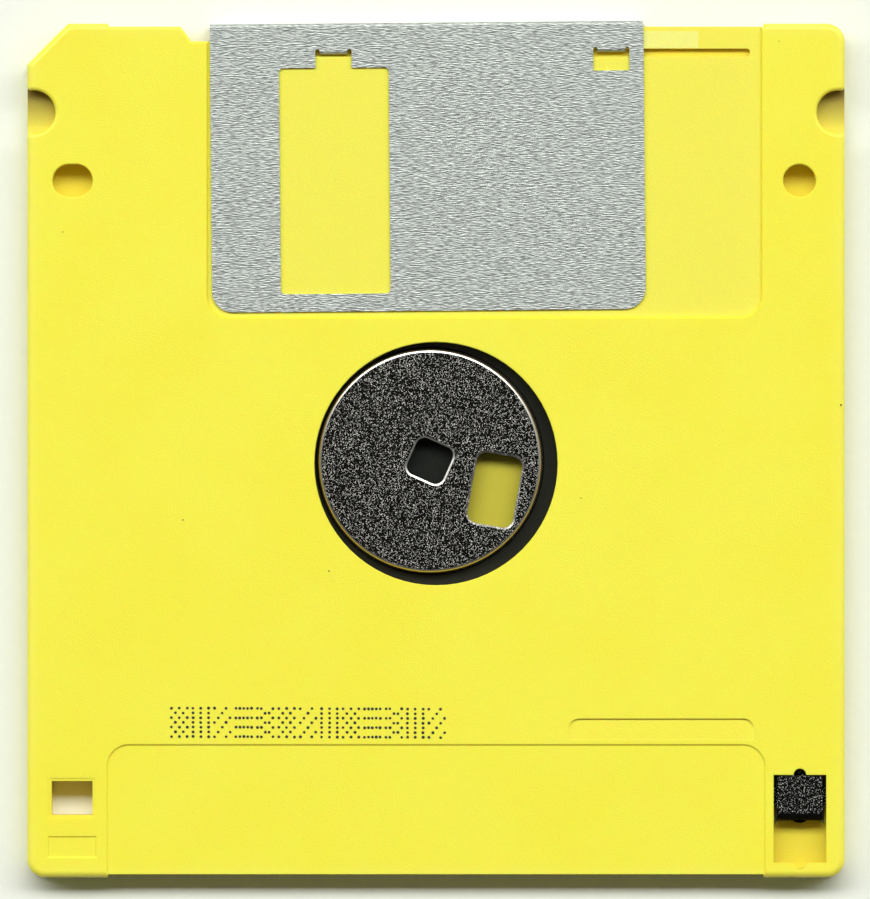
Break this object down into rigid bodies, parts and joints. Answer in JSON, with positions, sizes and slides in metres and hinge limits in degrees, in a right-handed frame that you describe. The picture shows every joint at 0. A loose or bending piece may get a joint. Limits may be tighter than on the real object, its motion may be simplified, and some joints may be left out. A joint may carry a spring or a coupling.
{
  "type": "floppy disk",
  "caption": "Flat square disk cartridge with a metal hub, a spring-loaded sliding shutter and a write-protect slider.",
  "frame": {"origin": "middle of the underside: centre of the case in plan, on the outer face of the label side", "axes": "+X towards the write-protect slider, +Y towards the shutter edge, +Z out of the hub side"},
  "size_m": [0.09, 0.0943, 0.0033],
  "materials": {
    "case_plastic": "fine moulded grain",
    "slider_plastic": "coarse grain",
    "shutter_sheet": "brushed along its length",
    "hub_steel": "blasted, dark",
    "film": "coated",
    "adhesive": "clear film",
    "liner_fleece": "bonded fleece",
    "lifter_sheet": "clear sheet",
    "pad_plastic": "slippery plastic",
    "spring_wire": "drawn wire"
  },
  "bodies": {
    "case": {"label_side_shell": "case_plastic", "hub_side_shell": "case_plastic", "label_side_liner": "liner_fleece", "hub_side_liner": "liner_fleece", "liner_lifter": "lifter_sheet", "hub_wear_pad": "pad_plastic", "shutter_spring": "spring_wire"},
    "disk": {"magnetic_disk": "film", "hub": "hub_steel", "hub_adhesive_ring": "adhesive"},
    "shutter": {"shutter": "shutter_sheet"},
    "write_protect": {"write_protect_slider": "slider_plastic"}
  },
  "joints": [
    {"name": "shutter_slide", "type": "slide", "parent": "case", "child": "shutter", "axis": [1, 0, 0], "range_m": [0, 0.0125], "stiffness_N_per_m": 40, "springref_m": -0.01, "deforming": ["shutter_spring"]},
    {"name": "disk_spin", "type": "hinge", "parent": "case", "child": "disk", "pos_m": [-0.00066, -0.00115, 0.002], "axis": [0, 0, 1], "continuous": true},
    {"name": "write_protect_slide", "type": "slide", "parent": "case", "child": "write_protect", "axis": [0, -1, 0], "range_m": [0, 0.0045]}
  ]
}
